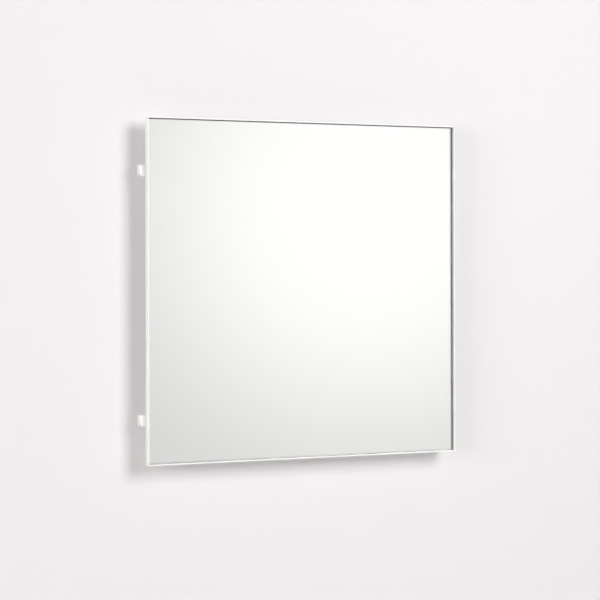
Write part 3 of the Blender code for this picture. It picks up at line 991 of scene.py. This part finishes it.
def faded_paint(name, tone, axes, fade_range, clear_share, grain, into_white):
    """Rolled matt paint that fades out between two distances, into white or into what lies beyond.

    It shows from its front only.
    """
    material, tree, shader, place = new_material(name)
    stipple = add_node(
        tree, "ShaderNodeTexNoise", inputs={"Vector": place, "Scale": 1 / grain, "Detail": 3}
    ).outputs["Fac"]
    bump = add_node(
        tree, "ShaderNodeBump", inputs={"Height": stipple, "Strength": 0.3, "Distance": 0.1 * MM}
    )
    set_inputs(tree, shader, {
        "Base Color": rgba(tone),
        "Roughness": 0.8,
        "Specular IOR Level": 0.1,
        "Normal": bump.outputs["Normal"],
    })
    flat = add_node(tree, "ShaderNodeVectorMath", {"operation": "MULTIPLY"}, {0: place, 1: axes})
    away = add_node(tree, "ShaderNodeVectorMath", {"operation": "LENGTH"}, {0: flat.outputs["Vector"]})
    # The clear share is for the eye alone: bounced light meets the whole of the paint.
    ray = add_node(tree, "ShaderNodeLightPath").outputs
    least = add_node(
        tree, "ShaderNodeMix", inputs={FACTOR: ray["Is Diffuse Ray"], NUMBER_A: clear_share, NUMBER_B: 0.0}
    )
    fade = add_node(
        tree, "ShaderNodeMapRange", {"interpolation_type": "SMOOTHSTEP"},
        {
            "Value": away.outputs["Value"], "From Min": fade_range[0], "From Max": fade_range[1],
            "To Min": least.outputs[NUMBER_OUT], "To Max": 1,
        },
    )
    behind = add_node(tree, "ShaderNodeNewGeometry").outputs["Backfacing"]
    open_share = add_node(
        tree, "ShaderNodeMath", {"operation": "MAXIMUM"}, {0: fade.outputs["Result"], 1: behind}
    )
    clear = add_node(tree, "ShaderNodeBsdfTransparent").outputs[0]
    if into_white:
        # The eye gets the white beyond from the paint itself, which lights nothing: where paint is nearly
        # clear, denoising would draw a faint line.
        material.cycles.emission_sampling = "NONE"
        white = add_node(tree, "ShaderNodeEmission", inputs={"Color": (1, 1, 1, 1), "Strength": 1})
        seen = add_node(
            tree, "ShaderNodeMath", {"operation": "SUBTRACT"}, {0: ray["Is Camera Ray"], 1: behind}
        )
        clear = add_node(
            tree, "ShaderNodeMixShader", inputs={0: seen.outputs[0], 1: clear, 2: white.outputs[0]}
        ).outputs[0]
    mix = add_node(
        tree, "ShaderNodeMixShader", inputs={0: open_share.outputs[0], 1: shader.outputs[0], 2: clear}
    )
    set_inputs(tree, tree.nodes["Material Output"], {"Surface": mix.outputs[0]})
    return material


def add_lamp(name, place, size, share):
    """Add a soft rectangular lamp aimed at the mirror, which lights its plane to a share of white."""
    place = Vector(place)
    aim = (-place).to_track_quat("-Z", "Y").to_euler()
    bpy.ops.object.select_all(action="DESELECT")
    bpy.ops.object.light_add(type="AREA", location=place, rotation=aim)
    lamp = bpy.context.object
    lamp.name = lamp.data.name = name
    lamp.data.shape = "RECTANGLE"
    lamp.data.size, lamp.data.size_y = size
    # White needs pi watts a square metre, and the lamp's watts spread over pi times its distance squared.
    slant = abs(place.y) / place.length
    lamp.data.energy = share * math.pi ** 2 * place.length_squared / slant
    # The mirror shows the room, which has soft spots for the lamps, and not the lamps themselves.
    lamp.visible_camera = False
    lamp.visible_glossy = False
    lamp.visible_transmission = False


def room_spot(tree, direction, place, fall, levels):
    """Add nodes for a round spot of light in some direction, and return their output."""
    turn, rise = map(math.radians, place)
    centre = (math.cos(rise) * math.sin(turn), -math.cos(rise) * math.cos(turn), math.sin(rise))
    along = add_node(
        tree, "ShaderNodeVectorMath", {"operation": "DOT_PRODUCT"}, {0: direction, 1: centre}
    )
    angle = add_node(tree, "ShaderNodeMath", {"operation": "ARCCOSINE"}, {0: along.outputs["Value"]})
    start, stop = map(math.radians, fall)
    spot = add_node(
        tree, "ShaderNodeMapRange", {"interpolation_type": "SMOOTHSTEP"},
        {
            "Value": angle.outputs[0], "From Min": start, "From Max": stop,
            "To Min": levels[0], "To Max": levels[1],
        },
    )
    return spot.outputs["Result"]


def soft_room(stage):
    """White for the camera, a softly glowing room for the mirror, and plain light for the rest."""
    world = bpy.data.worlds.new("Soft room")
    bpy.context.scene.world = world
    world.use_nodes = True
    tree = world.node_tree
    tree.nodes.clear()
    direction = add_node(tree, "ShaderNodeTexCoord").outputs["Generated"]
    room = 0.0
    for spot in ROOM_SPOTS.values():
        light = room_spot(tree, direction, *spot)
        room = add_node(tree, "ShaderNodeMath", {"operation": "ADD"}, {0: room, 1: light}).outputs[0]
    ray = add_node(tree, "ShaderNodeLightPath").outputs
    mirrored = add_node(
        tree, "ShaderNodeMath", {"operation": "MAXIMUM"},
        {0: ray["Is Glossy Ray"], 1: ray["Is Transmission Ray"]},
    )
    unseen = add_node(
        tree, "ShaderNodeMix",
        inputs={FACTOR: mirrored.outputs[0], NUMBER_A: stage.room, NUMBER_B: room},
    )
    strength = add_node(
        tree, "ShaderNodeMix",
        inputs={FACTOR: ray["Is Camera Ray"], NUMBER_A: unseen.outputs[NUMBER_OUT], NUMBER_B: 1.0},
    )
    background = add_node(
        tree, "ShaderNodeBackground",
        inputs={"Color": (1, 1, 1, 1), "Strength": strength.outputs[NUMBER_OUT]},
    )
    add_node(tree, "ShaderNodeOutputWorld", inputs={"Surface": background.outputs[0]})


class WALLMIRROR_OT_stage(bpy.types.Operator):
    """Set up the wall, floor, light and camera"""

    bl_idname = "wall_mirror.stage"
    bl_label = "Stage"

    def execute(self, context):
        stage = context.scene.mirror_stage
        finishes = context.scene.mirror_finishes
        bpy.ops.object.select_all(action="DESELECT")
        bpy.ops.mesh.primitive_plane_add(
            size=WALL_SIDE, location=(0, stage.wall_gap, 0), rotation=(math.pi / 2, 0, 0)
        )
        wall = settle("wall")
        wall.data.materials.append(faded_paint(
            "Matt wall paint", finishes.wall, (1, 0, 1), WALL_FADE, WALL_CLEAR, WALL_GRAIN, into_white=False
        ))
        # The rear light passes the wall, so that the mirror's back can be looked at.
        wall.visible_shadow = False
        bpy.ops.object.select_all(action="DESELECT")
        bpy.ops.mesh.primitive_circle_add(
            vertices=FLOOR_SIDES, radius=FLOOR_RADIUS, fill_type="NGON", location=(0, 0, -stage.floor_drop)
        )
        floor = settle("floor")
        floor.data.materials.append(faded_paint(
            "Pale floor", finishes.floor, (1, 1, 0), FLOOR_FADE, FLOOR_CLEAR, FLOOR_GRAIN, into_white=True
        ))

        for name, (place, size) in LAMPS.items():
            add_lamp(name, place, size, getattr(stage, name))
        soft_room(stage)

        bpy.ops.object.camera_add(location=stage.camera_place, rotation=stage.camera_turn)
        camera = context.object
        camera.name = "camera"
        camera.data.lens = stage.lens
        camera.data.shift_y = stage.camera_shift
        context.scene.camera = camera
        context.scene.view_settings.view_transform = "Standard"
        return {"FINISHED"}


class WALLMIRROR_PT_pieces(bpy.types.Panel):
    """The mirror's pieces, sizes and colours"""

    bl_idname = "WALLMIRROR_PT_pieces"
    bl_label = "Wall Mirror"
    bl_space_type = "VIEW_3D"
    bl_region_type = "UI"
    bl_category = "Wall Mirror"

    def draw(self, context):
        column = self.layout.column()
        for operator in OPERATORS:
            column.operator(operator.bl_idname)
        for group_name, group in GROUPS.items():
            for name in group.__annotations__:
                column.prop(getattr(context.scene, group_name), name)


GROUPS = {"mirror_sizes": MirrorSizes, "mirror_finishes": MirrorFinishes, "mirror_stage": MirrorStage}
OPERATORS = (
    WALLMIRROR_OT_frame_rails,
    WALLMIRROR_OT_mirror_pane,
    WALLMIRROR_OT_safety_film,
    WALLMIRROR_OT_mounting_tapes,
    WALLMIRROR_OT_corner_gussets,
    WALLMIRROR_OT_gusset_rivets,
    WALLMIRROR_OT_hook_brackets,
    WALLMIRROR_OT_bracket_rivets,
    WALLMIRROR_OT_stage,
)


def register():
    """Add the classes, and the properties to the scene."""
    for item in (*GROUPS.values(), *OPERATORS, WALLMIRROR_PT_pieces):
        bpy.utils.register_class(item)
    for name, group in GROUPS.items():
        setattr(bpy.types.Scene, name, PointerProperty(type=group))


def unregister():
    """Take the properties and the classes away."""
    for name in GROUPS:
        delattr(bpy.types.Scene, name)
    for item in (WALLMIRROR_PT_pieces, *reversed(OPERATORS), *GROUPS.values()):
        bpy.utils.unregister_class(item)


def main():
    """Build the mirror and its stage."""
    register()
    bpy.ops.wall_mirror.frame_rails()
    bpy.ops.wall_mirror.mirror_pane()
    bpy.ops.wall_mirror.safety_film()
    bpy.ops.wall_mirror.mounting_tapes()
    bpy.ops.wall_mirror.corner_gussets()
    bpy.ops.wall_mirror.gusset_rivets()
    bpy.ops.wall_mirror.hook_brackets()
    bpy.ops.wall_mirror.bracket_rivets()
    bpy.ops.wall_mirror.stage()


if __name__ == "__main__":
    main()
